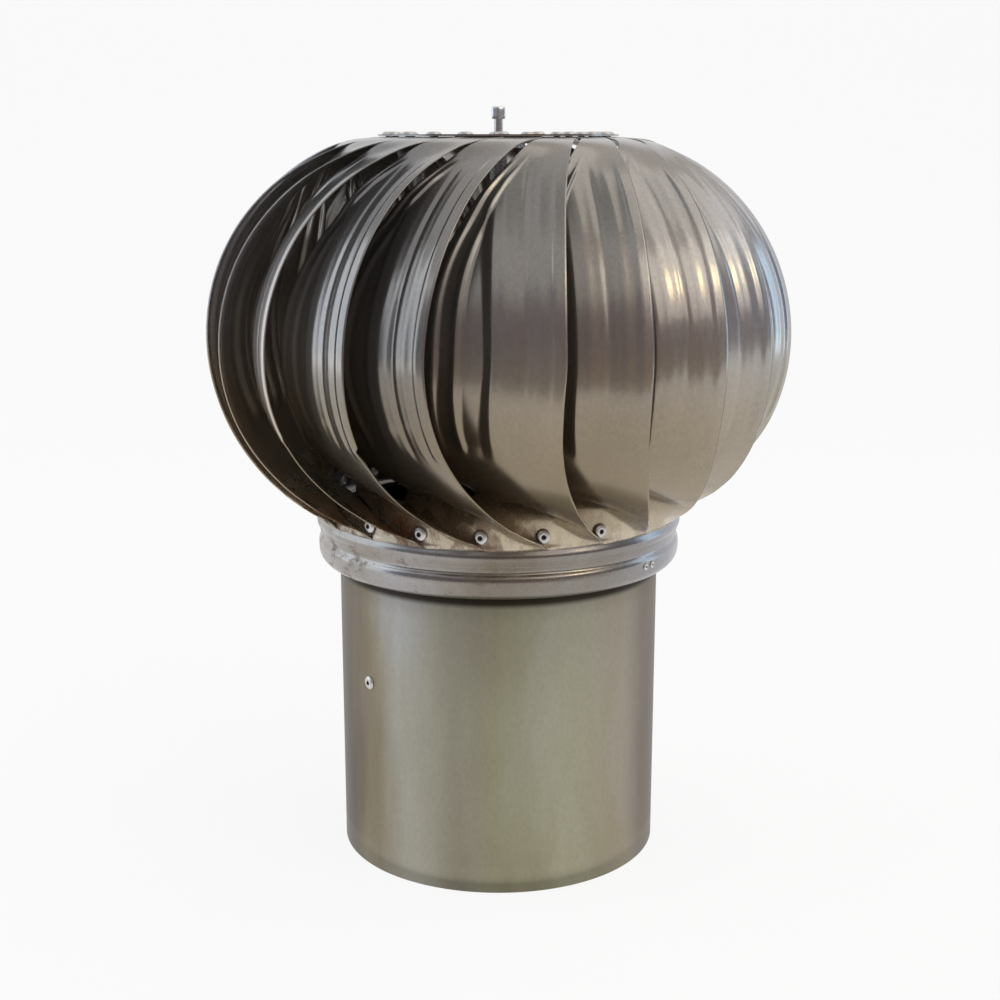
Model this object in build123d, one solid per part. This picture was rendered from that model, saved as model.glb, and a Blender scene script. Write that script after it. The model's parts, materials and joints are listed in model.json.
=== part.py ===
from build123d import *
import os
from math import asin, cos, degrees, radians, sin

# Roof turbine ventilator: a plain sheet collar that slips over a round duct, and a globe of
# twenty curved vanes that the wind turns on a vertical shaft. Millimetres, +Z up, the origin
# at the centre of the collar's open lower end. Azimuths are in degrees from +X, and grow
# anticlockwise seen from above.

# ---- collar ----
collar_radius = 75.0
collar_wall = 0.7
collar_height = 160.0
seam_width = 9.0
seam_step = 0.5
seam_azimuth = 90.0

# ---- cross straps that carry the bearing housing ----
strap_width = 32.0
strap_thick = 1.5
strap_flange = 16.0
upper_strap_drop = 10.0
strap_spacing = 53.5
lower_strap_azimuth = -141.5
upper_strap_azimuth = -51.5
seat_gap = 0.15

# ---- sealed bearings and their housing ----
bearing_radius = 11.0
bearing_split = 6.0
bearing_running_gap = 0.08
bearing_width = 7.0
press_gap = 0.02
housing_radius = 13.0
housing_reach_below = 12.5
housing_reach_above = 6.0
housing_middle_radius = 9.0
housing_flange_radius = 24.0
housing_flange_thick = 3.0
housing_screw_circle = 19.0
screw_radius = 2.0
screw_head_radius = 3.5
screw_head_height = 2.4
screw_nut_across_flats = 7.0
screw_nut_height = 3.2
strap_hole_gap = 0.2

# ---- shaft and what is on it ----
shaft_radius = 4.0
stud_radius = 2.0
thread_gap = 0.03
shim_radius = 5.8
shim_thick = 0.5
lower_nut_across_flats = 13.0
lower_nut_height = 6.5
shaft_spare = 2.0
stop_collar_radius = 8.0
stop_collar_height = 8.0
grub_screw_radius = 2.0
hub_washer_radius = 12.0
hub_washer_thick = 2.0
top_washer_radius = 4.5
top_washer_thick = 0.8
top_nut_across_flats = 7.0
top_nut_height = 3.2
stud_bare_length = 5.8
cap_nut_across_flats = 6.2
cap_nut_height = 5.4
cap_nut_ball_radius = 3.75
cap_nut_wall = 1.0

# ---- top plate ----
plate_rise = 194.0
plate_thick = 0.8
plate_radius = 54.0
dish_radius = 14.0
dish_run = 6.0
dish_depth = 3.2

# ---- globe of vanes ----
vane_count = 20
sheet = 0.6
globe_rise = 104.0
globe_inset = 41.9
globe_radius = 90.9
edge_plane_offset = 40.0
vane_depth = 17.0
vane_width = 27.0
vane_tab_width = 15.5
vane_end_width = 17.0
fold_share = 0.64
tail_fold_share = 0.4
fold_depth_share = 0.78
tail_sweep = 13.0
tail_sweep_start = -20.0
tail_sweep_end = -62.0
full_depth_angle = 20.0
narrowing_angle = -36.0
narrowed_width = 22.0
arc_angles = (72.0, 65.0, 56.0, 46.0, 35.0, 24.0, 13.0, 2.0, -9.0, -20.0, -30.0, -40.0, -48.0)
tab_steps = (-9.5, -3.0, 3.5)
tab_sag = 0.35
tail_angles = (-51.0, -54.0, -57.0, -60.0)
tail_bend_out = (1.7, 0.15, 0.0, 0.0)
tail_fold_azimuths = (-1.0, 2.5, 6.0, 9.0)
tail_back_azimuths = (-6.0, -5.0, -3.5, -1.5)
tail_rivet_azimuth = 4.6
tail_widest_strip = 12.0
tab_gap = 0.3
tail_gap = 0.3
tail_bend_rise = 43.0
tail_bottom_rise = 22.6
first_vane_azimuth = -81.8
# the vanes are bent by hand, so their free edges wander by a few degrees at the equator
nudges_by_vane = {1: 3.2, 2: 1.0, 4: -1.8, 5: 0.6, 7: -0.9, 9: 1.1, 12: -0.8, 15: 0.7, 19: 0.6, 20: -2.7}

# ---- lower ring of the rotor, with the heights of all the rotor above its lower edge ----
ring_sheet = 0.7
ring_clearance = 9.0
ring_overlap = 21.0
ring_height = 33.5
ring_bead = 1.6
ring_bead_rise = 19.4
ring_bead_height = 4.6
ring_groove_rise = 12.2
ring_groove_depth = 1.0
ring_band_top_rise = 10.2
ring_band_bottom_rise = 5.0
ring_band_step = 0.8
ring_curl = 3.4
ring_seam_azimuth = -38.0
ring_seam_pitch = 5.0

# ---- blind rivets ----
small_round_sides = 10
rivet_radius = 1.6
rivet_hole_gap = 0.08
rivet_head_radius = 3.2
rivet_head_height = 1.1
rivet_tail_radius = 2.3
rivet_tail_height = 1.2
rivet_seat_gap = 0.12
tail_rivet_rise = 28.6
tab_rivet_inset = 5.0
seam_rivet_scale = 0.5

# ---- places worked out from the sizes above ----
collar_bore = collar_radius - collar_wall
strap_reach = collar_bore - seat_gap
upper_strap_z = collar_height - upper_strap_drop
lower_strap_z = upper_strap_z - strap_spacing
housing_bottom = lower_strap_z - housing_reach_below
housing_top = upper_strap_z + housing_reach_above
flange_z = lower_strap_z + strap_thick
stop_collar_z = housing_top + shim_thick
lower_nut_z = housing_bottom - shim_thick - lower_nut_height
ring_radius = collar_radius + ring_clearance
ring_bottom_radius = ring_radius - ring_curl
ring_bottom_z = collar_height - ring_overlap
ring_top_z = ring_bottom_z + ring_height
ring_bead_z = ring_bottom_z + ring_bead_rise
ring_groove_z = ring_bottom_z + ring_groove_rise
ring_band_top_z = ring_bottom_z + ring_band_top_rise
ring_band_bottom_z = ring_bottom_z + ring_band_bottom_rise
plate_top_z = ring_bottom_z + plate_rise
tab_radii = [plate_radius + step for step in tab_steps]
tab_rivet_radius = plate_radius - tab_rivet_inset
globe_centre_z = ring_bottom_z + globe_rise
globe_offset = ring_radius - globe_inset
tail_bend_z = ring_bottom_z + tail_bend_rise
tail_bottom_z = ring_bottom_z + tail_bottom_rise
tail_rivet_z = ring_bottom_z + tail_rivet_rise
dish_z = plate_top_z - dish_depth
shoulder_z = dish_z - plate_thick - hub_washer_thick
top_nut_z = dish_z + top_washer_thick
cap_nut_z = top_nut_z + top_nut_height + stud_bare_length
stud_top_z = cap_nut_z + cap_nut_height - cap_nut_wall
tab_z = plate_top_z - plate_thick - tab_gap
tail_radius = (ring_radius + tail_gap) / cos(radians(tail_widest_strip / 2)) + sheet
equator_radius = globe_offset + globe_radius
rivet_hole_radius = rivet_radius + rivet_hole_gap
screw_hole_radius = screw_radius + rivet_hole_gap
rivet_drop = strap_flange / 2 - strap_thick
vane_azimuths = {n: first_vane_azimuth + (n - 1) * 360.0 / vane_count for n in range(1, vane_count + 1)}


# ---- plain shapes ----
def tube(outer, inner, low, high):
    """A ring with a plain bore, from one height to another."""
    middle = Pos(0, 0, (low + high) / 2)
    return middle * Cylinder(outer, high - low) - middle * Cylinder(inner, 2 * (high - low))


def revolved(outline):
    """A round piece from an (r, z) outline turned about the vertical axis."""
    points = [(r, 0, z) for r, z in outline]
    return revolve(make_face(Polyline(*points, close=True)), Axis.Z)


def hexagon(across_flats, low, height):
    """A hexagon bar standing at a height."""
    outline = RegularPolygon(across_flats / 2, 6, major_radius=False)
    return Pos(0, 0, low) * extrude(outline, height)


def nut(across_flats, bore, low, height):
    """A plain hexagon nut."""
    return hexagon(across_flats, low, height) - Pos(0, 0, low) * Cylinder(bore, 3 * height)


def prism(radius, low, high):
    """A many-sided bar about +Z, which stands for a small round one."""
    return Pos(0, 0, low) * extrude(RegularPolygon(radius, small_round_sides), high - low)


def rivet(grip, scale=1.0):
    """A set blind rivet about +Z: its head stands on z = 0 and its tail grips below."""
    upset = -grip - scale * rivet_tail_height
    head = prism(scale * rivet_head_radius, 0, scale * rivet_head_height)
    shank = prism(scale * rivet_radius, -grip, 0)
    return head + shank + prism(scale * rivet_tail_radius, upset, -grip)


def in_wall(shape, radius, z, azimuth):
    """A shape about +Z laid so that its +Z points out of a round wall."""
    return Rot(0, 0, azimuth) * Pos(radius, 0, z) * Rot(0, 90, 0) * shape


def in_plate(shape, radius, z, azimuth):
    """A shape about +Z stood on a plate at a radius and an azimuth."""
    return Rot(0, 0, azimuth) * Pos(radius, 0, z) * shape


def drill(radius=rivet_hole_radius):
    """The cutter for one hole, long enough for the sheets it joins."""
    return prism(radius / cos(radians(180.0 / small_round_sides)), -7 * radius, 7 * radius)


# ---- collar, straps and bearing housing ----
def strap_ends(azimuth, bar_z):
    """The rivet at each end of a strap, as (azimuth, height)."""
    return [(azimuth, bar_z - rivet_drop), (azimuth + 180.0, bar_z - rivet_drop)]


lower_ends = strap_ends(lower_strap_azimuth, lower_strap_z)
upper_ends = strap_ends(upper_strap_azimuth, upper_strap_z)
screw_places = [
    (housing_screw_circle, lower_strap_azimuth),
    (housing_screw_circle, lower_strap_azimuth + 180.0),
]


def make_collar():
    """Rolled sheet tube with its lap seam and the holes of the strap rivets."""
    body = tube(collar_radius, collar_bore, 0, collar_height)
    lap = tube(collar_radius + seam_step, collar_radius - collar_wall / 2, 0, collar_height)
    strip = Pos(collar_radius, 0, collar_height / 2) * Box(collar_radius, seam_width, collar_height)
    body += Rot(0, 0, seam_azimuth) * (lap & strip)
    for azimuth, height in lower_ends + upper_ends:
        body -= in_wall(drill(), collar_radius, height, azimuth)
    return body


def make_strap(azimuth, bar_z, ends, screws):
    """A flat bar across the collar with both ends turned down against the wall."""
    top, bottom = bar_z + strap_thick, bar_z + strap_thick - strap_flange
    bar = Pos(0, 0, bar_z + strap_thick / 2) * Box(3 * collar_radius, strap_width, strap_thick)
    bar &= Pos(0, 0, bar_z) * Cylinder(strap_reach, 4 * strap_thick)
    ends_down = tube(strap_reach, strap_reach - strap_thick, bottom, top)
    ends_down &= Pos(0, 0, bar_z) * Box(3 * collar_radius, strap_width, 3 * strap_flange)
    body = Rot(0, 0, azimuth) * (bar + ends_down)
    body -= Pos(0, 0, bar_z) * Cylinder(housing_radius + strap_hole_gap, 4 * strap_thick)
    for rivet_azimuth, height in ends:
        body -= in_wall(drill(), strap_reach, height, rivet_azimuth)
    for radius, screw_azimuth in screws:
        body -= in_plate(drill(screw_hole_radius), radius, bar_z, screw_azimuth)
    return body


def make_housing():
    """Turned tube with a bearing seat in each end and a flange that sits on the lower strap."""
    seat_bottom, seat_top = housing_bottom + bearing_width, housing_top - bearing_width
    seat = bearing_radius + press_gap
    outline = [
        (seat, housing_bottom),
        (housing_radius, housing_bottom),
        (housing_radius, flange_z),
        (housing_flange_radius, flange_z),
        (housing_flange_radius, flange_z + housing_flange_thick),
        (housing_radius, flange_z + housing_flange_thick),
        (housing_radius, housing_top),
        (seat, housing_top),
        (seat, seat_top),
        (housing_middle_radius, seat_top),
        (housing_middle_radius, seat_bottom),
        (seat, seat_bottom),
    ]
    body = revolved(outline)
    for radius, azimuth in screw_places:
        body -= in_plate(drill(screw_hole_radius), radius, flange_z, azimuth)
    return body


def make_bearing(low):
    """The outer race with its shields, and the inner race that turns in it."""
    high = low + bearing_width
    outer = tube(bearing_radius, bearing_split + bearing_running_gap, low, high)
    return outer, tube(bearing_split, shaft_radius + press_gap, low, high)


def make_strap_rivets(ends):
    """The pair of blind rivets that hold one strap to the collar."""
    grip = collar_wall + seat_gap + strap_thick + rivet_seat_gap
    return [in_wall(rivet(grip), collar_radius, height, azimuth) for azimuth, height in ends]


def make_housing_screws():
    """Two screws through the housing flange and the lower strap, and their nuts."""
    grip = housing_flange_thick + strap_thick
    length = grip + screw_nut_height
    head = Pos(0, 0, screw_head_height / 2) * Cylinder(screw_head_radius, screw_head_height)
    screw = head + Pos(0, 0, -length / 2) * Cylinder(screw_radius, length)
    screw_nut = nut(screw_nut_across_flats, screw_radius + thread_gap, -length, screw_nut_height)
    top = flange_z + housing_flange_thick
    screws = [in_plate(screw, radius, top, azimuth) for radius, azimuth in screw_places]
    nuts = [in_plate(screw_nut, radius, top, azimuth) for radius, azimuth in screw_places]
    return screws, nuts


# ---- shaft and what is on it ----
def make_shaft():
    """Plain shaft with a thin threaded stud above the shoulder that carries the rotor."""
    low = lower_nut_z - shaft_spare
    body = Pos(0, 0, (low + shoulder_z) / 2) * Cylinder(shaft_radius, shoulder_z - low)
    stud = Pos(0, 0, (shoulder_z + stud_top_z) / 2) * Cylinder(stud_radius, stud_top_z - shoulder_z)
    return body + stud


def make_shim(low):
    """A shim washer that keeps a nut or collar off the bearing's shield."""
    return tube(shim_radius, shaft_radius + press_gap, low, low + shim_thick)


def make_stop_collar():
    """The set collar that hangs the shaft on the upper bearing, and its grub screw."""
    middle = stop_collar_z + stop_collar_height / 2
    body = tube(stop_collar_radius, shaft_radius + press_gap, stop_collar_z, stop_collar_z + stop_collar_height)
    hole = Cylinder(grub_screw_radius + thread_gap, stop_collar_radius)
    body -= in_wall(hole, stop_collar_radius, middle, 0)
    length = stop_collar_radius - shaft_radius - 2 * rivet_seat_gap
    grub = in_wall(Cylinder(grub_screw_radius, length), (stop_collar_radius + shaft_radius) / 2, middle, 0)
    return body, grub


def make_cap_nut():
    """The small domed nut on the end of the stud."""
    middle = cap_nut_z + cap_nut_height / 2
    body = hexagon(cap_nut_across_flats, cap_nut_z, cap_nut_height)
    body &= Pos(0, 0, middle) * Sphere(cap_nut_ball_radius)
    bore_depth = cap_nut_height - cap_nut_wall + thread_gap
    return body - Pos(0, 0, cap_nut_z + bore_depth / 2) * Cylinder(stud_radius + thread_gap, bore_depth)


def make_plate():
    """Top plate with a dished middle, and the rivet holes of the vane tabs."""
    foot = plate_top_z - plate_thick
    outline = [
        (stud_radius + press_gap, dish_z),
        (dish_radius, dish_z),
        (dish_radius + dish_run, plate_top_z),
        (plate_radius, plate_top_z),
        (plate_radius, foot),
        (dish_radius + dish_run, foot),
        (dish_radius, dish_z - plate_thick),
        (stud_radius + press_gap, dish_z - plate_thick),
    ]
    body = revolved(outline)
    for azimuth in vane_azimuths.values():
        body -= in_plate(drill(), tab_rivet_radius, plate_top_z, azimuth + tab_rivet_turn)
    return body


# ---- vanes ----
def edge_turn(radius):
    """The free edge lies in an upright plane that misses the axis, so it turns on as it nears it."""
    return degrees(asin(edge_plane_offset / radius) - asin(edge_plane_offset / equator_radius))


def sweep(angle, nudge=0.0):
    """How far the free edge has turned on from the vane's own azimuth, at a latitude."""
    turn = edge_turn(globe_offset + globe_radius * cos(radians(angle)))
    if angle < tail_sweep_start:
        turn += tail_sweep * ((tail_sweep_start - angle) / (tail_sweep_start - tail_sweep_end)) ** 3
    return turn + nudge * cos(radians(angle)) ** 2 * min(1.0, 1.0 - angle / tail_sweep_end)


def fullness(angle):
    """Share of the full depth: none at the top tab, all of it from the middle down."""
    share = min(1.0, (arc_angles[0] - angle) / (arc_angles[0] - full_depth_angle))
    return share * (2.0 - share)


def width(angle):
    """The vane's width in degrees of azimuth: widest in the middle, narrow at both ends."""
    if angle > narrowing_angle:
        return vane_tab_width + (vane_width - vane_tab_width) * fullness(angle)
    share = (angle - tail_angles[0]) / (narrowing_angle - tail_angles[0])
    return narrowed_width + (vane_width - narrowed_width) * share


def around(radius, height, azimuth):
    """A point from its radius, height and azimuth."""
    return Vector(radius * cos(radians(azimuth)), radius * sin(radians(azimuth)), height)


def on_globe(angle, depth, azimuth):
    """A point at a latitude, so far inside the globe's envelope."""
    reach = globe_radius - depth
    return around(globe_offset + reach * cos(radians(angle)), globe_centre_z + reach * sin(radians(angle)), azimuth)


def tab_section(radius, height):
    """The flat end of the vane under the top plate, cut straight across."""
    first = around(radius, height, edge_turn(radius))
    last = around(radius, height, edge_turn(radius) - vane_tab_width)
    outer = [first, first + (last - first) * fold_share, last]
    return outer + [point - Vector(0, 0, sheet) for point in reversed(outer)]


def arc_section(angle, nudge):
    """One cross-section of the vane: free edge, fold and tucked edge, and the sheet's inner side."""
    turn, wide, full = sweep(angle, nudge), width(angle), vane_depth * fullness(angle)
    stations = [(0.0, 0.0), (full * fold_depth_share, fold_share * wide), (full, wide)]
    outer = [on_globe(angle, depth, turn - back) for depth, back in stations]
    return outer + [on_globe(angle, depth + sheet, turn - back) for depth, back in reversed(stations)]


def tail_section(step):
    """The tail: its back stands against the lower ring while its free edge comes down to it."""
    height = tail_bend_z - (tail_bend_z - tail_bottom_z) * step / len(tail_angles)
    angle, radius = tail_angles[step], tail_radius + tail_bend_out[step]
    on_ring = [tail_fold_azimuths[step], tail_back_azimuths[step]]
    outer = [on_globe(angle, 0.0, sweep(angle))] + [around(radius, height, azimuth) for azimuth in on_ring]
    inner = [around(radius - sheet, height, azimuth) for azimuth in reversed(on_ring)]
    return [*outer, *inner, on_globe(angle, sheet, sweep(angle))]


def end_section():
    """The square end of the tail, all of it against the lower ring."""
    stations = [tail_end_turn - share * vane_end_width for share in (0.0, tail_fold_share, 1.0)]
    outer = [around(tail_radius, tail_bottom_z, azimuth) for azimuth in stations]
    return outer + [around(tail_radius - sheet, tail_bottom_z, azimuth) for azimuth in reversed(stations)]


tab_rivet_turn = edge_turn(tab_rivet_radius) - vane_tab_width / 2
tail_end_turn = sweep(tail_sweep_end)


def skinned(sections):
    """A closed solid over a row of sections, with flat facets between each two. The sheet's inner
    side is split along the same diagonals as its outer side, which keeps its thickness even."""
    facets = [sections[0], list(reversed(sections[-1]))]
    corners = len(sections[0])
    for before, after in zip(sections, sections[1:]):
        for corner in range(corners):
            following = (corner + 1) % corners
            first, second = (corner, following) if 2 * corner < corners else (following, corner)
            facets.append([before[corner], before[following], after[second]])
            facets.append([before[first], after[following], after[corner]])
    faces = [Face(Wire.make_polygon(facet, close=True)) for facet in facets]
    return Solid(Shell(faces))


def make_vane(nudge):
    """One pressed vane, with its free edge at azimuth 0 on the equator before it is nudged."""
    sections = [tab_section(radius, tab_z) for radius in tab_radii[:2]]
    sections.append(tab_section(tab_radii[2], tab_z - tab_sag))
    sections += [arc_section(angle, nudge) for angle in arc_angles]
    sections += [tail_section(step) for step in range(len(tail_angles))]
    body = skinned([*sections, end_section()])
    body -= in_plate(drill(), tab_rivet_radius, tab_z, tab_rivet_turn)
    return body - in_wall(drill(), tail_radius, tail_rivet_z, tail_rivet_azimuth)


# ---- lower ring and the rivets of the rotor ----
def make_ring():
    """Rolled and beaded ring that ties the vane tails together round the collar."""
    outer = [
        (ring_radius, ring_top_z),
        (ring_radius, ring_bead_z + ring_bead_height / 2),
        (ring_radius + ring_bead, ring_bead_z),
        (ring_radius - ring_groove_depth, ring_groove_z),
        (ring_radius + ring_band_step, ring_band_top_z),
        (ring_radius + ring_band_step, ring_band_bottom_z),
        (ring_bottom_radius, ring_bottom_z),
    ]
    inner = [(r - ring_sheet, z) for r, z in reversed(outer)]
    body = revolved(outer + inner)
    for azimuth in vane_azimuths.values():
        body -= in_wall(drill(), ring_radius, tail_rivet_z, azimuth + tail_rivet_azimuth)
    for azimuth, height in seam_places:
        body -= in_wall(drill(seam_rivet_scale * rivet_hole_radius), ring_radius, height, azimuth)
    return body


seam_height = (ring_band_top_z + ring_band_bottom_z) / 2
seam_turn = degrees(ring_seam_pitch / ring_radius) / 2
seam_places = [(ring_seam_azimuth - seam_turn, seam_height), (ring_seam_azimuth + seam_turn, seam_height)]


def make_rotor_rivets():
    """The rivets of the vane tails, of the vane tabs and of the ring's seam."""
    tail_grip = tail_radius - ring_radius + ring_sheet + 2 * rivet_seat_gap
    tab_grip = plate_thick + tab_gap + sheet + rivet_seat_gap
    seam_grip = ring_sheet + rivet_seat_gap
    tails = [
        in_wall(rivet(tail_grip), tail_radius + rivet_seat_gap, tail_rivet_z, azimuth + tail_rivet_azimuth)
        for azimuth in vane_azimuths.values()
    ]
    tabs = [
        in_plate(rivet(tab_grip), tab_rivet_radius, plate_top_z, azimuth + tab_rivet_turn)
        for azimuth in vane_azimuths.values()
    ]
    seams = [
        in_wall(rivet(seam_grip, seam_rivet_scale), ring_radius + ring_band_step, height, azimuth)
        for azimuth, height in seam_places
    ]
    return tails, tabs, seams


# ---- all the pieces, each in its own file ----
lower_outer, lower_inner = make_bearing(housing_bottom)
upper_outer, upper_inner = make_bearing(housing_top - bearing_width)
housing_screws, housing_nuts = make_housing_screws()
stop_collar, grub_screw = make_stop_collar()
tail_rivets, tab_rivets, seam_rivets = make_rotor_rivets()
pieces = {
    "collar_tube": make_collar(),
    "lower_strap": make_strap(lower_strap_azimuth, lower_strap_z, lower_ends, screw_places),
    "upper_strap": make_strap(upper_strap_azimuth, upper_strap_z, upper_ends, []),
    "lower_strap_rivets": Compound(children=make_strap_rivets(lower_ends)),
    "upper_strap_rivets": Compound(children=make_strap_rivets(upper_ends)),
    "bearing_housing": make_housing(),
    "housing_screws": Compound(children=housing_screws),
    "housing_screw_nuts": Compound(children=housing_nuts),
    "lower_bearing_outer_race": lower_outer,
    "lower_bearing_inner_race": lower_inner,
    "upper_bearing_outer_race": upper_outer,
    "upper_bearing_inner_race": upper_inner,
    "shaft": make_shaft(),
    "lower_shim_washer": make_shim(housing_bottom - shim_thick),
    "upper_shim_washer": make_shim(housing_top),
    "lower_lock_nut": nut(lower_nut_across_flats, shaft_radius + thread_gap, lower_nut_z, lower_nut_height),
    "stop_collar": stop_collar,
    "grub_screw": grub_screw,
    "hub_washer": tube(hub_washer_radius, stud_radius + press_gap, shoulder_z, shoulder_z + hub_washer_thick),
    "top_plate": make_plate(),
    "top_washer": tube(top_washer_radius, stud_radius + press_gap, dish_z, dish_z + top_washer_thick),
    "top_nut": nut(top_nut_across_flats, stud_radius + thread_gap, top_nut_z, top_nut_height),
    "cap_nut": make_cap_nut(),
    "lower_ring": make_ring(),
    "ring_seam_rivets": Compound(children=seam_rivets),
    "vane_tail_rivets": Compound(children=tail_rivets),
    "vane_tab_rivets": Compound(children=tab_rivets),
}
for number, azimuth in vane_azimuths.items():
    pieces[f"vane_{number:02d}"] = Rot(0, 0, azimuth) * make_vane(nudges_by_vane.get(number, 0.0))

os.makedirs("parts", exist_ok=True)
for name, piece in pieces.items():
    export_step(piece, f"parts/{name}.step")
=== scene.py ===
import bmesh
import bpy
import json
from math import asin, cos, degrees, exp, pi, radians, sin
from mathutils import Matrix, Vector


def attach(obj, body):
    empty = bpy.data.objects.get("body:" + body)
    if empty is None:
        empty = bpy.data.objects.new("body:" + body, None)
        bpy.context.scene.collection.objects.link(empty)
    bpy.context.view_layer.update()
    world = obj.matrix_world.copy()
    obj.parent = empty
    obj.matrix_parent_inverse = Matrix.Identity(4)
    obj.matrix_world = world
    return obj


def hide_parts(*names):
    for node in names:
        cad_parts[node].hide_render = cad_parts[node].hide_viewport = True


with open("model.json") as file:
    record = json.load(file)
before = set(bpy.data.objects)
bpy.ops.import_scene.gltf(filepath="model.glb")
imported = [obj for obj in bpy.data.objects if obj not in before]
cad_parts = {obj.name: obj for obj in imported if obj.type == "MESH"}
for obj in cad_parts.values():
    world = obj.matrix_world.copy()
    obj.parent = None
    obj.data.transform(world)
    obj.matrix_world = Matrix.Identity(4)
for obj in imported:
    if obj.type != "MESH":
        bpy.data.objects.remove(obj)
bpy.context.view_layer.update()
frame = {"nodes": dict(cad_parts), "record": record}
mm = 0.001
print("frame loaded:", len(frame["nodes"]), "nodes")

# the camera stands level with the top plate and looks down on the globe
camera = {"place": (0.0, -0.739, 0.333), "pitch": 13.3, "lens": 57.7, "shiftX": 0.0015, "shiftY": 0.013}
cameraData = bpy.data.cameras.new("camera")
cameraData.lens = camera["lens"]
cameraData.sensor_width = 36.0
cameraData.shift_x = camera["shiftX"]
cameraData.shift_y = camera["shiftY"]
cameraObject = bpy.data.objects.new("camera", cameraData)
cameraObject.location = camera["place"]
cameraObject.rotation_euler = (radians(90 - camera["pitch"]), 0, 0)
bpy.context.scene.collection.objects.link(cameraObject)
bpy.context.scene.camera = cameraObject
bpy.context.scene.view_settings.view_transform = "Standard"
print("camera set")


def nodeIn(tree, kind, **sockets):
    node = tree.nodes.new(kind)
    for name, value in sockets.items():
        node.inputs[name.replace("_", " ")].default_value = value
    return node


def rampIn(tree, stops, source, interpolation="LINEAR"):
    ramp = tree.nodes.new("ShaderNodeValToRGB")
    ramp.color_ramp.interpolation = interpolation
    elements = ramp.color_ramp.elements
    while len(elements) < len(stops):
        elements.new(0.5)
    for element, (place, colour) in zip(elements, stops):
        element.position = place
        element.color = (*colour, 1.0)
    tree.links.new(source, ramp.inputs["Fac"])
    return ramp.outputs["Color"]


def mathIn(tree, operation, first, second=0.5, clamp=False):
    node = tree.nodes.new("ShaderNodeMath")
    node.operation = operation
    node.use_clamp = clamp
    for socket, value in zip(node.inputs, (first, second)):
        if isinstance(value, (int, float)):
            socket.default_value = value
        else:
            tree.links.new(value, socket)
    return node.outputs["Value"]


def shareIn(tree, source, start, stop):
    return mathIn(tree, "DIVIDE", mathIn(tree, "SUBTRACT", source, start), stop - start, True)


def stretchIn(tree, source, scale):
    mapping = nodeIn(tree, "ShaderNodeMapping", Scale=scale)
    tree.links.new(source, mapping.inputs["Vector"])
    return mapping.outputs["Vector"]


def noiseIn(tree, source, scale, detail=3.0, roughness=0.55):
    noise = nodeIn(tree, "ShaderNodeTexNoise", Scale=scale, Detail=detail, Roughness=roughness)
    tree.links.new(source, noise.inputs["Vector"])
    return noise.outputs["Fac"]


def blendIn(tree, share, first, second, mode="MIX"):
    node = tree.nodes.new("ShaderNodeMix")
    node.data_type = "RGBA"
    node.blend_type = mode
    for index, value in ((0, share), (6, first), (7, second)):
        if isinstance(value, (int, float)):
            node.inputs[index].default_value = value
        elif isinstance(value, tuple):
            node.inputs[index].default_value = (*value, 1.0)
        else:
            tree.links.new(value, node.inputs[index])
    return node.outputs[2]


def toneIn(tree, look, xyz, cloud, grain):
    tone = rampIn(tree, look["tones"], cloud)
    # painted light and shade: the tones by height and across are multiplied into the plain colour
    if "paintedHeightLight" in look:
        height = shareIn(tree, xyz.outputs["Z"], *look["heightRange"])
        tone = blendIn(tree, 1.0, tone, rampIn(tree, look["paintedHeightLight"], height), "MULTIPLY")
    if "paintedSideLight" in look:
        across = shareIn(tree, xyz.outputs["X"], -look["acrossHalf"], look["acrossHalf"])
        wander = mathIn(tree, "MULTIPLY", mathIn(tree, "SUBTRACT", cloud, 0.5), look["acrossWander"])
        across = mathIn(tree, "ADD", across, wander, True)
        tone = blendIn(tree, 1.0, tone, rampIn(tree, look["paintedSideLight"], across, "EASE"), "MULTIPLY")
    speckle = rampIn(tree, [(0.3, (look["grainDark"],) * 3), (0.7, (1.0, 1.0, 1.0))], grain)
    return blendIn(tree, 1.0, tone, speckle, "MULTIPLY")


def grimeShareIn(tree, grime, place, xyz):
    rise = shareIn(tree, xyz.outputs["Z"], *grime["heights"])
    side = shareIn(tree, xyz.outputs["X"], *grime["side"])
    side = mathIn(tree, "MULTIPLY", side, 1.0 - grime["elsewhere"])
    side = mathIn(tree, "ADD", side, grime["elsewhere"])
    spots = noiseIn(tree, stretchIn(tree, place, grime["stretch"]), grime["scale"], 6.0, 0.7)
    spots = mathIn(tree, "SUBTRACT", spots, grime["start"])
    spots = mathIn(tree, "MULTIPLY", spots, grime["sharpness"], True)
    share = mathIn(tree, "MULTIPLY", mathIn(tree, "MULTIPLY", rise, side), spots, True)
    return mathIn(tree, "MULTIPLY", share, grime["most"], True)


def bumpIn(tree, look, place, grain):
    dents = noiseIn(tree, stretchIn(tree, place, look["dentStretch"]), look["dentScale"], 1.0, 0.3)
    fine = nodeIn(tree, "ShaderNodeBump", Strength=look["grainBump"], Distance=0.0002)
    tree.links.new(grain, fine.inputs["Height"])
    broad = nodeIn(tree, "ShaderNodeBump", Strength=look["dentBump"], Distance=0.002)
    tree.links.new(dents, broad.inputs["Height"])
    tree.links.new(fine.outputs["Normal"], broad.inputs["Normal"])
    return broad.outputs["Normal"]


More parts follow.
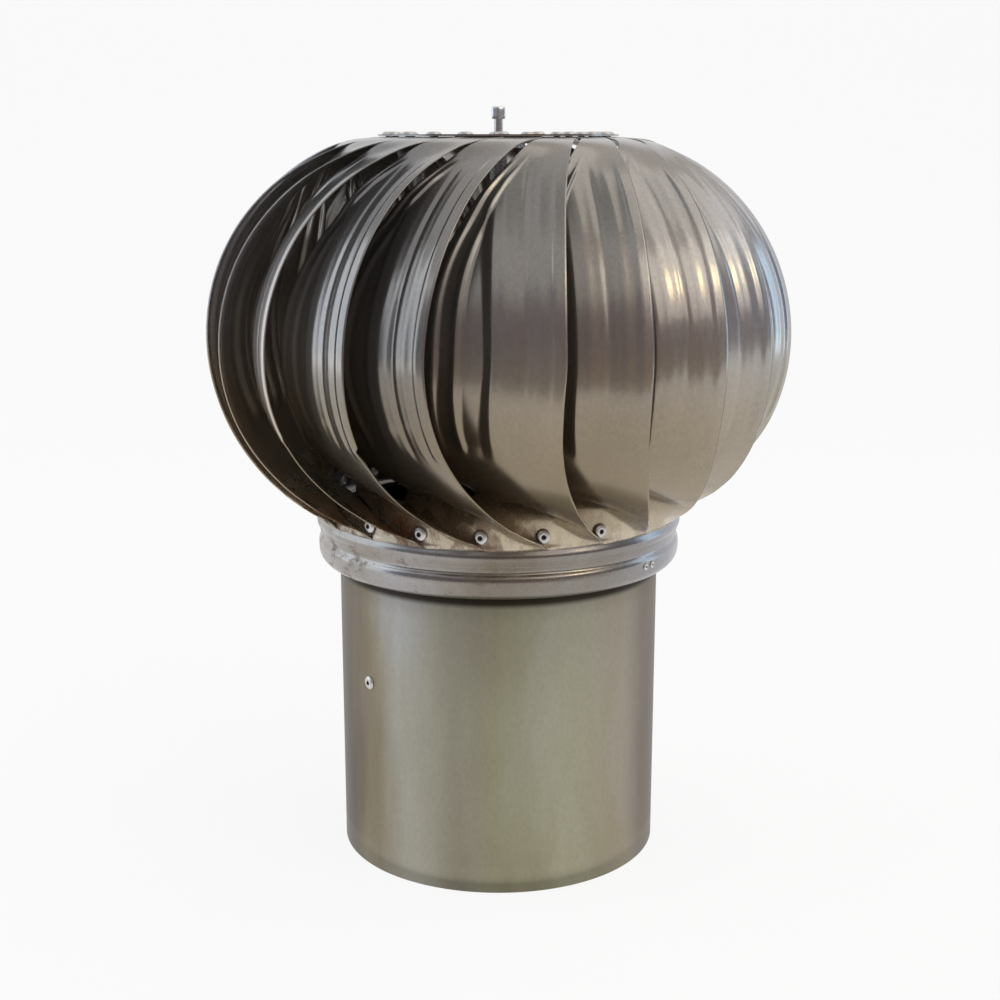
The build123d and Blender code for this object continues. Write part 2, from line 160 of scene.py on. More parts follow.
def sheetMetal(name, look):
    material = bpy.data.materials.new(name)
    material.use_nodes = True
    tree = material.node_tree
    shader = tree.nodes["Principled BSDF"]
    place = tree.nodes.new("ShaderNodeTexCoord").outputs["Object"]
    xyz = tree.nodes.new("ShaderNodeSeparateXYZ")
    tree.links.new(place, xyz.inputs["Vector"])
    cloud = noiseIn(tree, stretchIn(tree, place, look["cloudStretch"]), look["cloudScale"], 4.0)
    grain = noiseIn(tree, stretchIn(tree, place, look["grainStretch"]), look["grainScale"], 2.0, 0.7)

    tone = toneIn(tree, look, xyz, cloud, grain)
    low, high = look["roughness"]
    rough = mathIn(tree, "ADD", mathIn(tree, "MULTIPLY", cloud, high - low), low)
    rough = mathIn(tree, "ADD", rough, mathIn(tree, "MULTIPLY", grain, look["grainRoughness"]))
    metal = look.get("metallic", 1.0)
    if "grime" in look:
        grime = look["grime"]
        share = grimeShareIn(tree, grime, place, xyz)
        tone = blendIn(tree, share, tone, rampIn(tree, grime["colours"], grain))
        rough = mathIn(tree, "ADD", rough, mathIn(tree, "MULTIPLY", share, grime["dulling"]), True)
        dirty = mathIn(tree, "MULTIPLY", share, grime["unmetal"])
        tree.links.new(mathIn(tree, "SUBTRACT", metal, dirty, True), shader.inputs["Metallic"])
    else:
        shader.inputs["Metallic"].default_value = metal
    tree.links.new(tone, shader.inputs["Base Color"])
    tree.links.new(rough, shader.inputs["Roughness"])
    tree.links.new(bumpIn(tree, look, place, grain), shader.inputs["Normal"])
    return material


# tones by height or across multiply the plain ones and paint light and shade into them (reflections, sheen
# and the ring's shadow on the collar), and grime gathers low down and on one side
vaneLook = {
    "metallic": 0.82,
    "tones": [(0.3, (0.33, 0.315, 0.30)), (0.55, (0.37, 0.355, 0.34)), (0.75, (0.42, 0.40, 0.385))],
    "cloudScale": 18.0, "cloudStretch": (1.0, 1.0, 0.35),
    # painted reflection: the vanes are much lighter low down at the tails and khaki in the lower middle
    "paintedHeightLight": [
        (0.0, (1.75, 1.62, 1.35)), (0.055, (1.45, 1.30, 1.00)), (0.11, (0.80, 0.68, 0.48)),
        (0.35, (0.86, 0.75, 0.58)), (0.55, (0.97, 0.93, 0.88)), (1.0, (0.95, 0.95, 0.95))],
    "heightRange": (0.16, 0.33),
    # painted reflection and side light: the vanes are lighter and bluish towards both sides and darker just
    # left of the middle
    "paintedSideLight": [
        (0.0, (2.15, 2.22, 2.40)), (0.15, (1.75, 1.82, 1.96)), (0.22, (1.0, 1.04, 1.10)),
        (0.34, (0.80, 0.81, 0.84)), (0.45, (0.95, 0.93, 0.90)), (0.62, (1.0, 0.98, 0.95)),
        (0.78, (1.12, 1.12, 1.13)), (1.0, (1.24, 1.34, 1.50))],
    "acrossHalf": 0.13, "acrossWander": 0.12,
    "grainScale": 900.0, "grainStretch": (1.0, 1.0, 0.6), "grainDark": 0.86,
    "grainRoughness": 0.06, "grainBump": 0.10,
    "roughness": (0.14, 0.25), "dentScale": 9.0, "dentStretch": (1.0, 1.0, 0.5), "dentBump": 0.25,
    "grime": {
        "heights": (0.188, 0.172), "side": (0.03, -0.04), "elsewhere": 0.2,
        "stretch": (1.0, 1.0, 0.6), "scale": 70.0, "dulling": 0.45, "unmetal": 0.85,
        "start": 0.43, "sharpness": 8.0, "most": 0.95,
        "colours": [(0.3, (0.05, 0.022, 0.010)), (0.7, (0.26, 0.13, 0.05))],
    },
}
ringLook = {
    "tones": [(0.3, (0.42, 0.42, 0.43)), (0.5, (0.37, 0.36, 0.34)), (0.75, (0.33, 0.30, 0.26))],
    "cloudScale": 22.0, "cloudStretch": (1.0, 1.0, 1.0),
    # painted reflection and shade: the ring is darker at its foot and bead and lighter at the top
    "paintedHeightLight": [
        (0.0, (0.82, 0.78, 0.74)), (0.45, (0.92, 0.88, 0.84)), (0.6, (0.80, 0.74, 0.68)),
        (1.0, (0.98, 0.98, 0.99))],
    "heightRange": (0.14, 0.165),
    # painted reflection: the ring is lighter and bluish at both sides and darker khaki in the middle
    "paintedSideLight": [
        (0.0, (1.25, 1.30, 1.40)), (0.30, (1.05, 1.05, 1.07)), (0.5, (0.78, 0.74, 0.68)),
        (0.68, (0.88, 0.86, 0.83)), (1.0, (1.05, 1.12, 1.30))],
    "acrossHalf": 0.085, "acrossWander": 0.3,
    "grainScale": 900.0, "grainStretch": (1.0, 1.0, 1.0), "grainDark": 0.86,
    "grainRoughness": 0.06, "grainBump": 0.10,
    "roughness": (0.16, 0.28), "dentScale": 40.0, "dentStretch": (0.35, 0.35, 6.0), "dentBump": 0.22,
    "grime": {
        "heights": (0.172, 0.150), "side": (0.02, -0.06), "elsewhere": 0.2,
        "stretch": (1.0, 1.0, 1.4), "scale": 90.0, "dulling": 0.45, "unmetal": 0.85,
        "start": 0.54, "sharpness": 8.0, "most": 0.6,
        "colours": [(0.3, (0.05, 0.025, 0.012)), (0.7, (0.22, 0.12, 0.05))],
    },
}
collarLook = {
    "tones": [(0.32, (0.31, 0.29, 0.245)), (0.5, (0.385, 0.375, 0.32)), (0.66, (0.44, 0.44, 0.43))],
    "cloudScale": 20.0, "cloudStretch": (1.0, 1.0, 0.25),
    # painted shadow: the top of the collar goes near-black just under the ring's lower edge, where the ring
    # casts its shadow
    "paintedHeightLight": [
        (0.0, (0.96, 0.93, 0.86)), (0.6, (1.0, 0.98, 0.93)), (0.9, (0.92, 0.90, 0.88)),
        (0.95, (0.78, 0.76, 0.74)), (0.966, (0.10, 0.085, 0.08)), (1.0, (0.04, 0.035, 0.03))],
    "heightRange": (0.0, 0.14),
    # painted reflection and shade: light and dark upright bands across the collar, darker towards both
    # sides where it turns away
    "paintedSideLight": [
        (0.0, (0.30, 0.25, 0.22)), (0.10, (0.72, 0.65, 0.56)), (0.23, (1.06, 1.08, 1.14)),
        (0.36, (0.90, 0.90, 0.86)), (0.52, (0.84, 0.84, 0.70)), (0.72, (0.98, 0.98, 0.86)),
        (0.88, (0.90, 0.82, 0.72)), (1.0, (0.40, 0.32, 0.28))],
    "acrossHalf": 0.076, "acrossWander": 0.16,
    "grainScale": 700.0, "grainStretch": (1.0, 1.0, 0.5), "grainDark": 0.9,
    "grainRoughness": 0.05, "grainBump": 0.08,
    "roughness": (0.34, 0.46), "dentScale": 10.0, "dentStretch": (1.0, 1.0, 0.4), "dentBump": 0.10,
}
rivetLook = {
    "tones": [(0.3, (0.62, 0.61, 0.59)), (0.7, (0.74, 0.73, 0.71))],
    "cloudScale": 120.0, "cloudStretch": (1.0, 1.0, 1.0),
    "grainScale": 1500.0, "grainStretch": (1.0, 1.0, 1.0), "grainDark": 0.85,
    "grainRoughness": 0.08, "grainBump": 0.08,
    "roughness": (0.28, 0.42), "dentScale": 300.0, "dentStretch": (1.0, 1.0, 1.0), "dentBump": 0.05,
}
# painted shade: the stem end is near-black, standing in for the shade deep in each rivet's hole
mandrelShadeLook = {
    "tones": [(0.3, (0.02, 0.016, 0.013)), (0.7, (0.07, 0.05, 0.04))],
    "cloudScale": 200.0, "cloudStretch": (1.0, 1.0, 1.0), "metallic": 0.3,
    "grainScale": 1500.0, "grainStretch": (1.0, 1.0, 1.0), "grainDark": 0.7,
    "grainRoughness": 0.1, "grainBump": 0.15,
    "roughness": (0.6, 0.8), "dentScale": 300.0, "dentStretch": (1.0, 1.0, 1.0), "dentBump": 0.05,
}
turnedLook = {
    "tones": [(0.3, (0.52, 0.52, 0.53)), (0.7, (0.64, 0.64, 0.65))],
    "cloudScale": 40.0, "cloudStretch": (1.0, 1.0, 1.0),
    "grainScale": 500.0, "grainStretch": (0.15, 0.15, 6.0), "grainDark": 0.8,
    "grainRoughness": 0.1, "grainBump": 0.2,
    "roughness": (0.25, 0.38), "dentScale": 40.0, "dentStretch": (1.0, 1.0, 1.0), "dentBump": 0.02,
}
groundLook = {
    "tones": [(0.3, (0.46, 0.46, 0.47)), (0.7, (0.60, 0.60, 0.61))],
    "cloudScale": 50.0, "cloudStretch": (1.0, 1.0, 0.5),
    "grainScale": 600.0, "grainStretch": (0.3, 0.3, 5.0), "grainDark": 0.8,
    "grainRoughness": 0.08, "grainBump": 0.12,
    "roughness": (0.16, 0.28), "dentScale": 60.0, "dentStretch": (1.0, 1.0, 1.0), "dentBump": 0.03,
}
zincLook = {
    "tones": [(0.3, (0.60, 0.62, 0.64)), (0.5, (0.72, 0.73, 0.74)), (0.8, (0.66, 0.62, 0.52))],
    "cloudScale": 90.0, "cloudStretch": (1.0, 1.0, 1.0),
    "grainScale": 1200.0, "grainStretch": (1.0, 1.0, 1.0), "grainDark": 0.88,
    "grainRoughness": 0.06, "grainBump": 0.06,
    "roughness": (0.16, 0.28), "dentScale": 120.0, "dentStretch": (1.0, 1.0, 1.0), "dentBump": 0.04,
}
vaneSheet = sheetMetal("vaneSheet", vaneLook)
ringSheet = sheetMetal("ringSheet", ringLook)
collarSheet = sheetMetal("collarSheet", collarLook)
rivetAluminium = sheetMetal("rivetAluminium", rivetLook)
mandrelHoleShade = sheetMetal("mandrelHoleShade", mandrelShadeLook)
turnedAluminium = sheetMetal("turnedAluminium", turnedLook)
groundSteel = sheetMetal("groundSteel", groundLook)
zincPlate = sheetMetal("zincPlate", zincLook)
print("materials made")


def addPiece(name, bm, materials, body, replaced=(), sheet=0.0):
    mesh = bpy.data.meshes.new(name)
    bm.to_mesh(mesh)
    bm.free()
    mesh.shade_smooth()
    for material in materials:
        mesh.materials.append(material)
    piece = bpy.data.objects.new(name, mesh)
    bpy.context.scene.collection.objects.link(piece)
    if sheet:
        wall = piece.modifiers.new("wall", "SOLIDIFY")
        wall.thickness = sheet * mm
        wall.offset = -1.0
    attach(piece, body)
    if replaced:
        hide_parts(*replaced)
    return piece


def around(radius, height, azimuth):
    return Vector((radius * cos(radians(azimuth)), radius * sin(radians(azimuth)), height)) * mm


def moveNew(bm, raised, shift):
    new = [item for item in raised["geom"] if isinstance(item, bmesh.types.BMVert)]
    bmesh.ops.translate(bm, verts=new, vec=shift)


def roundEdges(bm, edges, reach, segments):
    bmesh.ops.bevel(
        bm, geom=edges, offset=reach, offset_type="OFFSET", segments=segments, profile=0.5,
        affect="EDGES", material=-1)


def turnedShape(profile, steps):
    bm = bmesh.new()
    rail = [bm.verts.new((r * mm, 0, z * mm)) for r, z in profile]
    edges = [bm.edges.new(pair) for pair in zip(rail, rail[1:])]
    geom = rail + edges
    bmesh.ops.spin(bm, geom=geom, cent=(0, 0, 0), axis=(0, 0, 1), angle=2 * pi, steps=steps, use_merge=True)
    bmesh.ops.remove_doubles(bm, verts=bm.verts, dist=1e-6)
    bmesh.ops.recalc_face_normals(bm, faces=bm.faces)
    return bm


# each vane is one sheet that is laid out flat, then bent along its rows, in millimetres and degrees
vane = {
    "count": 20, "firstAzimuth": -81.8, "sheet": 0.6, "across": 60, "along": 100,
    "globeZ": 243.0, "globeOffset": 42.1, "globeRadius": 90.9, "edgePlane": 40.0,
    "depth": 17.0, "width": 27.0, "tabWidth": 15.5, "foldShare": 0.64, "foldDepth": 0.78, "foldRound": 11.0,
    "fullAngle": 20.0, "narrowingAngle": -36.0, "narrowedWidth": 26.5,
    "arcAngles": (72, 65, 56, 46, 35, 24, 13, 2, -9, -20, -30, -40, -48),
    "tabRows": ((44.5, 331.9), (51.0, 331.9), (57.5, 331.55)),
    "tailSweep": 13.0, "sweepPower": 2.2, "sweepStart": -8.0, "sweepEnd": -62.0,
    "tailAngles": (-51, -54, -57, -60), "tailOut": (1.7, 0.15, 0.0, 0.0), "tailRadius": 85.0,
    "tailFolds": (-1.0, 2.5, 6.0, 9.0), "tailBacks": (-17.5, -14.0, -11.2, -7.5),
    "tailTop": 182.0, "tailBottom": 161.6, "endWidth": 17.0, "endFold": 0.4,
    "alongReach": 0.8, "acrossReach": 0.01,
    "nudges": {1: 3.2, 2: 1.0, 4: -1.8, 5: 0.6, 7: -0.9, 9: 1.1, 12: -0.8, 15: 0.7, 19: 0.6, 20: -2.7},
}
press = {  # what is pressed into each vane, in millimetres from its free edge
    "lip": 4.4, "lipRise": 0.7, "lipStep": 0.6, "lipRun": 1.5, "lipBlend": 12.0,
    "step": (29.5, 35.0, -2.6), "stepWidths": (34.0, 46.0), "fullWidth": 60.6, "ribSpread": 1.6,
    "creases": ((10.5, 1.8, 0.3), (17.0, 1.4, -0.5), (24.5, 2.2, 0.35)),
    "ribs": ((0.765, 1.9, 1.25), (0.925, 1.9, 1.25)),
    "ribTop": (325.0, 312.0), "ribEnd": (206.0, 211.0), "notchZ": 208.0, "notchHalf": 2.0,
    "notchReach": 3.0,
    "notches": {18: 3.2, 19: 3.6, 15: 2.0, 11: 2.6, 7: 1.6, 4: 1.2},
}
equator = vane["globeOffset"] + vane["globeRadius"]


def edgeTurn(radius):
    return degrees(asin(vane["edgePlane"] / radius) - asin(vane["edgePlane"] / equator))


def sweepAt(angle, nudge=0.0):
    turn = edgeTurn(vane["globeOffset"] + vane["globeRadius"] * cos(radians(angle)))
    if angle < vane["sweepStart"]:
        share = (vane["sweepStart"] - angle) / (vane["sweepStart"] - vane["sweepEnd"])
        turn += vane["tailSweep"] * share ** vane["sweepPower"]
    return turn + nudge * cos(radians(angle)) ** 2 * min(1.0, 1.0 - angle / vane["sweepEnd"])


def fullnessAt(angle):
    share = min(1.0, (vane["arcAngles"][0] - angle) / (vane["arcAngles"][0] - vane["fullAngle"]))
    return share * (2.0 - share)


def widthAt(angle):
    if angle > vane["narrowingAngle"]:
        return vane["tabWidth"] + (vane["width"] - vane["tabWidth"]) * fullnessAt(angle)
    share = (angle - vane["tailAngles"][0]) / (vane["narrowingAngle"] - vane["tailAngles"][0])
    return vane["narrowedWidth"] + (vane["width"] - vane["narrowedWidth"]) * share


def onGlobe(angle, depth, azimuth):
    reach = vane["globeRadius"] - depth
    height = vane["globeZ"] + reach * sin(radians(angle))
    return around(vane["globeOffset"] + reach * cos(radians(angle)), height, azimuth)


def vaneRows(nudge):
    rows = []
    for radius, height in vane["tabRows"]:
        first = around(radius, height, edgeTurn(radius))
        last = around(radius, height, edgeTurn(radius) - vane["tabWidth"])
        rows.append((first, first.lerp(last, vane["foldShare"]), last))
    for angle in vane["arcAngles"]:
        turn, wide, deep = sweepAt(angle, nudge), widthAt(angle), vane["depth"] * fullnessAt(angle)
        fold = onGlobe(angle, deep * vane["foldDepth"], turn - wide * vane["foldShare"])
        rows.append((onGlobe(angle, 0.0, turn), fold, onGlobe(angle, deep, turn - wide)))
    for step, angle in enumerate(vane["tailAngles"]):
        height = vane["tailTop"] - (vane["tailTop"] - vane["tailBottom"]) * step / len(vane["tailAngles"])
        radius = vane["tailRadius"] + vane["tailOut"][step]
        fold = around(radius, height, vane["tailFolds"][step])
        back = around(radius, height, vane["tailBacks"][step])
        rows.append((onGlobe(angle, 0.0, sweepAt(angle)), fold, back))
    end = sweepAt(vane["sweepEnd"])
    shares = (0.0, vane["endFold"], 1.0)
    azimuths = (end - share * vane["endWidth"] for share in shares)
    rows.append(tuple(around(vane["tailRadius"], vane["tailBottom"], azimuth) for azimuth in azimuths))
    return rows


def rowAt(rows, stops, place):
    last = len(rows) - 2
    step = next((i for i in range(last) if place <= stops[i + 1]), last)
    share = (place - stops[step]) / (stops[step + 1] - stops[step])
    result = []
    for rail in range(3):
        before, after = rows[step][rail], rows[step + 1][rail]
        run = stops[step + 1] - stops[step]
        slopeIn = (after - rows[max(step - 1, 0)][rail]) / (stops[step + 1] - stops[max(step - 1, 0)]) * run
        ahead = min(step + 2, len(rows) - 1)
        slopeOut = (rows[ahead][rail] - before) / (stops[ahead] - stops[step]) * run
        s2, s3 = share * share, share ** 3
        point = before * (2 * s3 - 3 * s2 + 1) + slopeIn * (s3 - 2 * s2 + share)
        result.append(point + after * (3 * s2 - 2 * s3) + slopeOut * (s3 - s2))
    return result


def acrossRow(row, share):
    edge, fold, back = row
    first, second = (fold - edge).length, (back - fold).length
    run = share * (first + second)
    bend = min(vane["foldRound"] * mm, 0.45 * first, 0.45 * second)
    if run < first - bend:
        return edge.lerp(fold, run / first)
    if run > first + bend:
        return fold.lerp(back, (run - first) / second)
    start, stop = fold.lerp(edge, bend / first), fold.lerp(back, bend / second)
    part = (run - first + bend) / (2 * bend)
    return start.lerp(fold, part).lerp(fold.lerp(stop, part), part)


def easeBetween(value, start, stop):
    share = min(1.0, max(0.0, (value - start) / (stop - start)))
    return share * share * (3 - 2 * share)


def pressedHeight(share, wide, height):
    fromEdge = share * wide
    alive = easeBetween(height, *press["ribEnd"]) * easeBetween(height, *press["ribTop"])
    lift = press["lipRise"] * min(1.0, fromEdge / press["lip"])
    lift -= press["lipStep"] * easeBetween(fromEdge, press["lip"], press["lip"] + press["lipRun"])
    left = press["lipRise"] - press["lipStep"]
    lift = (lift - left * easeBetween(fromEdge, press["lip"], press["lipBlend"])) * alive
    first, last, drop = press["step"]
    lift += drop * easeBetween(fromEdge, first, last) * alive * easeBetween(wide, *press["stepWidths"])
    for place, half, rise in press["creases"]:
        lift += rise * exp(-((fromEdge - place) / half) ** 2) * alive
    for place, half, rise in press["ribs"]:
        offset = (share - place) * press["fullWidth"]
        lift += rise * cos(min(1.0, abs(offset) / (press["ribSpread"] * half)) * pi / 2) ** 2 * alive
    return lift * mm


def makeVane(number):
    azimuth = vane["firstAzimuth"] + (number - 1) * 360.0 / vane["count"]
    rows = vaneRows(vane["nudges"].get(number, 0.0))
    stops = [0.0]
    for before, after in zip(rows, rows[1:]):
        stops.append(stops[-1] + ((after[0] - before[0]).length + (after[1] - before[1]).length) / 2)
    total = stops[-1]
    bm = bmesh.new()
    bmesh.ops.create_grid(bm, x_segments=vane["across"], y_segments=vane["along"], size=0.5)
    shown = {}
    for vert in bm.verts:
        share, place = vert.co.x + 0.5, (0.5 - vert.co.y) * total
        key = round(place, 9)
        if key not in shown:
            places = (min(total, max(0.0, place + turn * vane["alongReach"] * mm)) for turn in (-1, 0, 1))
            shown[key] = [rowAt(rows, stops, spot) for spot in places]
        before, row, after = shown[key]
        wide = (row[1] - row[0]).length + (row[2] - row[1]).length
        fromEdge = share * wide / mm
        height = acrossRow(row, share).z / mm
        cut = press["notches"].get(number, 0.0) * exp(-fromEdge / press["notchReach"])
        cut *= exp(-((height - press["notchZ"]) / press["notchHalf"]) ** 2)
        share = min(1.0, share + cut * mm / wide)
        point = acrossRow(row, share)
        reach = vane["acrossReach"]
        sideways = acrossRow(row, min(1.0, share + reach)) - acrossRow(row, max(0.0, share - reach))
        lengthways = acrossRow(after, share) - acrossRow(before, share)
        outward = sideways.cross(lengthways).normalized()
        if outward.dot(Vector((point.x, point.y, point.z - vane["globeZ"] * mm))) < 0:
            outward.negate()
        vert.co = point + outward * pressedHeight(share, wide / mm, height)
    bmesh.ops.rotate(bm, verts=bm.verts, matrix=Matrix.Rotation(radians(azimuth), 3, "Z"))
    bm.normal_update()
    middle = max(bm.faces, key=lambda face: face.calc_center_median().xy.length)
    if middle.normal.dot(Vector((*middle.calc_center_median().xy, 0))) < 0:
        bmesh.ops.reverse_faces(bm, faces=bm.faces)
    name, node = f"pressedVane{number:02d}", f"vane_{number:02d}"
    addPiece(name, bm, [vaneSheet], "rotor", [node], vane["sheet"])


for number in range(1, vane["count"] + 1):
    makeVane(number)
print("vanes pressed:", vane["count"])

# the beaded ring below the globe
ring = {
    "profile": (
        (84.0, 172.5), (84.0, 171.8), (84.0, 166.5), (84.0, 161.2), (85.2, 160.3), (85.6, 158.4),
        (85.1, 156.5), (84.0, 155.5), (84.4, 154.7), (84.0, 153.9), (83.2, 152.4), (83.0, 151.0),
        (84.4, 149.9), (84.8, 148.7), (84.8, 144.8), (84.3, 142.3), (82.7, 140.2), (80.7, 139.1)),
    "steps": 96, "sheet": 0.7,
}
bm = turnedShape(ring["profile"], ring["steps"])
piece = addPiece("beadedRing", bm, [ringSheet], "rotor", ["lower_ring"], ring["sheet"])
rounding = piece.modifiers.new("rounding", "SUBSURF")
rounding.levels = rounding.render_levels = 1

# the collar is one rolled sheet whose outer end laps over its inner one at the back
collar = {
    "radius": 75.0, "height": 160.0, "sheet": 0.65, "around": 190, "tall": 12,
    "seam": 90.0, "lapWidth": 9.0, "lapStep": 0.5, "lapRun": 1.0,
}
bm = bmesh.new()
bmesh.ops.create_grid(bm, x_segments=collar["around"], y_segments=collar["tall"], size=0.5)
lap = degrees(collar["lapWidth"] / collar["radius"])
for vert in bm.verts:
    turn = (vert.co.x + 0.5) * (360.0 + lap)
    step = collar["lapStep"] * easeBetween(turn, 360.0 - collar["lapRun"], 360.0 + collar["lapRun"])
    height = (vert.co.y + 0.5) * collar["height"]
    vert.co = around(collar["radius"] + step, height, collar["seam"] - lap / 2 + turn)
bm.normal_update()
side = next(iter(bm.faces))
if side.normal.dot(side.calc_center_median()) < 0:
    bmesh.ops.reverse_faces(bm, faces=bm.faces)
addPiece("rolledCollar", bm, [collarSheet], "base", ["collar_tube"], collar["sheet"])
print("ring and collar made")

# blind rivets, with the broken stem deep in each head, whose end is painted near-black as the shade of its
# hole
rivet = {
    "head": (
        (0, 0.42), (0.85, 0.42), (0.95, 0.55), (1.02, 1.0), (1.2, 1.1), (2.1, 0.98),
        (2.8, 0.6), (3.15, 0.2), (3.15, 0.0)),
    "stem": 1.0, "shank": 1.6, "upset": 2.3, "upsetHeight": 1.2, "steps": 20,
    "tails": {"radius": 85.15, "height": 167.6, "turn": 4.6, "grip": 2.0},
    "tabs": {"radius": 49.0, "height": 333.0, "grip": 1.8},
    "seam": {"radius": 84.8, "height": 146.6, "azimuths": (-39.7, -36.3), "grip": 0.8, "scale": 0.5},
    "straps": {"radius": 75.0, "grip": 2.5, "lower": (-141.5, 90.0), "upper": (-51.5, 143.5)},
}


def rivetShape(bm, grip, scale, place):
    low = -grip / scale
    profile = [*rivet["head"], (rivet["shank"], 0.0), (rivet["shank"], low), (rivet["upset"], low)]
    profile += [(rivet["upset"] * 0.96, low - rivet["upsetHeight"] * 0.7), (0, low - rivet["upsetHeight"])]
    one = turnedShape([(r * scale, z * scale) for r, z in profile], rivet["steps"])
    for face in one.faces:
        centre = face.calc_center_median()
        # the stem end takes the near-black finish, painted shade of the hole
        face.material_index = int(centre.z > 0 and centre.xy.length < rivet["stem"] * scale * mm)
    one.transform(place)
    mesh = bpy.data.meshes.new("oneRivet")
    one.to_mesh(mesh)
    one.free()
    bm.from_mesh(mesh)
    bpy.data.meshes.remove(mesh)


def onPlate(radius, height, azimuth):
    return Matrix.Rotation(radians(azimuth), 4, "Z") @ Matrix.Translation((radius * mm, 0, height * mm))


def onWall(radius, height, azimuth):
    return onPlate(radius, height, azimuth) @ Matrix.Rotation(pi / 2, 4, "Y")


def makeRivets(name, node, body, places, grip, scale=1.0):
    bm = bmesh.new()
    for place in places:
        rivetShape(bm, grip, scale, place)
    addPiece(name, bm, [rivetAluminium, mandrelHoleShade], body, [node])


azimuths = [vane["firstAzimuth"] + step * 360.0 / vane["count"] for step in range(vane["count"])]
tails, tabs, seam, straps = (rivet[kind] for kind in ("tails", "tabs", "seam", "straps"))
tabTurn = edgeTurn(tabs["radius"]) - vane["tabWidth"] / 2
places = [onWall(tails["radius"], tails["height"], azimuth + tails["turn"]) for azimuth in azimuths]
makeRivets("tailRivets", "vane_tail_rivets", "rotor", places, tails["grip"])
places = [onPlate(tabs["radius"], tabs["height"], azimuth + tabTurn) for azimuth in azimuths]
makeRivets("tabRivets", "vane_tab_rivets", "rotor", places, tabs["grip"])
places = [onWall(seam["radius"], seam["height"], azimuth) for azimuth in seam["azimuths"]]
makeRivets("seamRivets", "ring_seam_rivets", "rotor", places, seam["grip"], seam["scale"])
for name in ("lower", "upper"):
    azimuth, height = straps[name]
    places = [onWall(straps["radius"], height, azimuth + turn) for turn in (0, 180)]
    makeRivets(f"{name}StrapRivets", f"{name}_strap_rivets", "base", places, straps["grip"])
print("rivets set")

# the small nut on the stud
cap = {"low": 339.6, "tall": 5.4, "flats": 6.2, "soften": 0.9, "steps": 4}
bm = bmesh.new()
bmesh.ops.create_circle(bm, cap_ends=True, segments=6, radius=cap["flats"] / 2 / cos(pi / 6) * mm)
bmesh.ops.translate(bm, verts=bm.verts, vec=(0, 0, cap["low"] * mm))
raised = bmesh.ops.extrude_face_region(bm, geom=list(bm.faces))
moveNew(bm, raised, (0, 0, cap["tall"] * mm))
bmesh.ops.recalc_face_normals(bm, faces=bm.faces)
roundEdges(bm, list(bm.edges), cap["soften"] * mm, cap["steps"])
addPiece("softenedCapNut", bm, [zincPlate], "rotor", ["cap_nut"])

# finishes of the CAD pieces that stay
finishes = {
    "galvanised_sheet": vaneSheet, "rivet_aluminium": rivetAluminium, "turned_aluminium": turnedAluminium,
    "ground_steel": groundSteel, "zinc_plated": zincPlate,
}
for row in frame["record"]["subparts"]:
    mesh = frame["nodes"][row["node"]].data
    mesh.materials.clear()
    mesh.materials.append(finishes[row["material_slot"]])
print("finishes set")

# studio: a pale sweep and soft lamps
studio = {
    "front": -0.8, "back": 1.5, "halfWidth": 3.0, "wallHeight": 1.6, "lean": 0.1,
    "curve": 0.5, "curveSteps": 16, "white": 0.9, "backdropShare": 0.88,
    "worldBands": [
        (0.0, (0.50, 0.46, 0.40)), (0.36, (0.44, 0.39, 0.33)), (0.50, (0.33, 0.27, 0.25)),
        (0.56, (0.29, 0.235, 0.235)), (0.73, (0.31, 0.26, 0.26)), (0.79, (0.72, 0.68, 0.64)),
        (0.93, (0.80, 0.76, 0.72)), (1.0, (0.50, 0.49, 0.47))],
    "sides": [
        (0.0, (0.66, 0.98, 1.34)), (0.09, (0.84, 0.94, 1.06)), (0.42, (0.80, 0.84, 0.90)),
        (0.58, (1.0, 0.99, 0.97)), (0.82, (1.0, 1.0, 1.02)), (1.0, (0.90, 1.03, 1.18))],
}
lamps = {
    "keyLamp": {
        "place": (1.1, -1.0, 1.3), "target": (0, 0, 0.2), "size": (1.4, 1.2), "power": 5.0,
        "colour": (1.0, 0.97, 0.92)},
    "topLamp": {
        "place": (0.75, 0.1, 1.7), "target": (0, 0, 0.2), "size": (1.3, 1.5), "power": 3.2,
        "colour": (1.0, 0.99, 0.97)},
    "windowLamp": {
        "place": (1.3, 0.35, 0.45), "target": (0, 0, 0.2), "size": (0.35, 0.9), "power": 1.9,
        "colour": (0.60, 0.82, 1.0)},
    "coolLamp": {
        "place": (-1.4, 0.1, 0.6), "target": (0, 0, 0.22), "size": (1.2, 1.2), "power": 6.0,
        "colour": (0.84, 0.93, 1.0)},
    "warmLamp": {
        "place": (0.95, -0.62, 0.98), "target": (0, 0, 0.25), "size": (0.22, 0.22), "power": 0.9,
        "colour": (1.0, 0.82, 0.40)},
}
bm = bmesh.new()
bmesh.ops.create_grid(bm, x_segments=2, y_segments=1, size=1.0)
for vert in bm.verts:
    vert.co = (vert.co.x * studio["halfWidth"], studio["front"] if vert.co.y < 0 else studio["back"], 0)
wall = [edge for edge in bm.edges if all(vert.co.y > 0 for vert in edge.verts)]
raised = bmesh.ops.extrude_edge_only(bm, edges=wall)
moveNew(bm, raised, (0, studio["lean"], studio["wallHeight"]))
roundEdges(bm, wall, studio["curve"], studio["curveSteps"])
sweepMesh = bpy.data.meshes.new("studioSweep")
bm.to_mesh(sweepMesh)
bm.free()
sweepMesh.shade_smooth()
studioSweep = bpy.data.objects.new("studioSweep", sweepMesh)
bpy.context.scene.collection.objects.link(studioSweep)


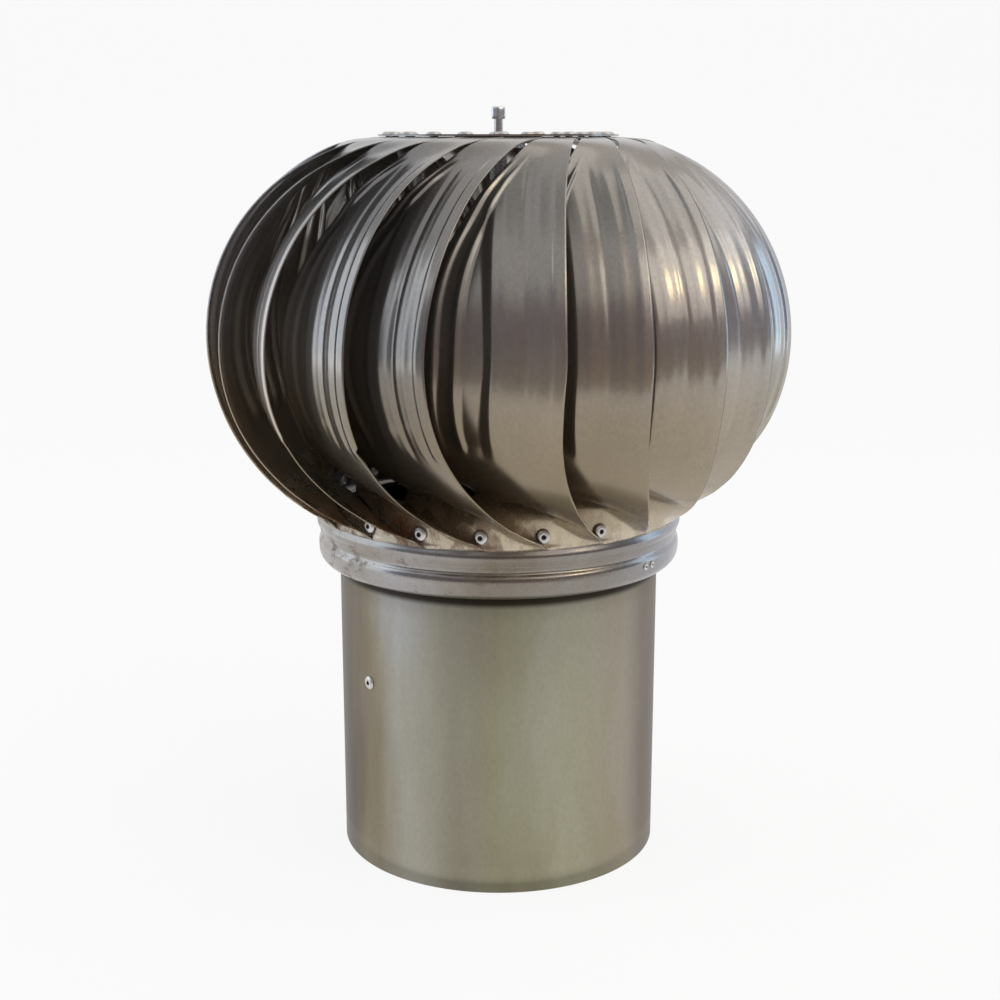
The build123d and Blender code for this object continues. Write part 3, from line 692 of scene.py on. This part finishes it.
def seenDirectly(tree):
    rays = tree.nodes.new("ShaderNodeLightPath")
    seen = mathIn(tree, "ADD", rays.outputs["Is Camera Ray"], rays.outputs["Is Glossy Ray"], True)
    return mathIn(tree, "ADD", seen, rays.outputs["Is Transmission Ray"], True)


paper = bpy.data.materials.new("backdropPaper")
paper.use_nodes = True
tree = paper.node_tree
tree.nodes.clear()
plain = nodeIn(tree, "ShaderNodeBsdfDiffuse", Color=(studio["white"],) * 3 + (1.0,))
lit = nodeIn(tree, "ShaderNodeEmission", Color=(1.0, 1.0, 1.0, 1.0), Strength=1.0)
mix = tree.nodes.new("ShaderNodeMixShader")
output = tree.nodes.new("ShaderNodeOutputMaterial")
tree.links.new(mathIn(tree, "MULTIPLY", seenDirectly(tree), studio["backdropShare"]), mix.inputs["Fac"])
tree.links.new(plain.outputs["BSDF"], mix.inputs[1])
tree.links.new(lit.outputs["Emission"], mix.inputs[2])
tree.links.new(mix.outputs["Shader"], output.inputs["Surface"])
sweepMesh.materials.append(paper)

world = bpy.data.worlds.new("studioWorld")
bpy.context.scene.world = world
world.use_nodes = True
tree = world.node_tree
direction = tree.nodes.new("ShaderNodeTexCoord").outputs["Generated"]
xyz = tree.nodes.new("ShaderNodeSeparateXYZ")
tree.links.new(direction, xyz.inputs["Vector"])
bands = rampIn(tree, studio["worldBands"], shareIn(tree, xyz.outputs["Z"], -1.0, 1.0))
sides = rampIn(tree, studio["sides"], shareIn(tree, xyz.outputs["X"], -1.0, 1.0))
tree.links.new(blendIn(tree, 1.0, bands, sides, "MULTIPLY"), tree.nodes["Background"].inputs["Color"])


def softLamp(name, lamp):
    light = bpy.data.lights.new(name, "AREA")
    light.shape = "RECTANGLE"
    light.size, light.size_y = lamp["size"]
    light.energy = lamp["power"]
    light.color = lamp["colour"]
    lampObject = bpy.data.objects.new(name, light)
    lampObject.location = lamp["place"]
    aim = Vector(lamp["target"]) - Vector(lamp["place"])
    lampObject.rotation_euler = aim.to_track_quat("-Z", "Y").to_euler()
    bpy.context.scene.collection.objects.link(lampObject)


for name, lamp in lamps.items():
    softLamp(name, lamp)
print("studio lit")
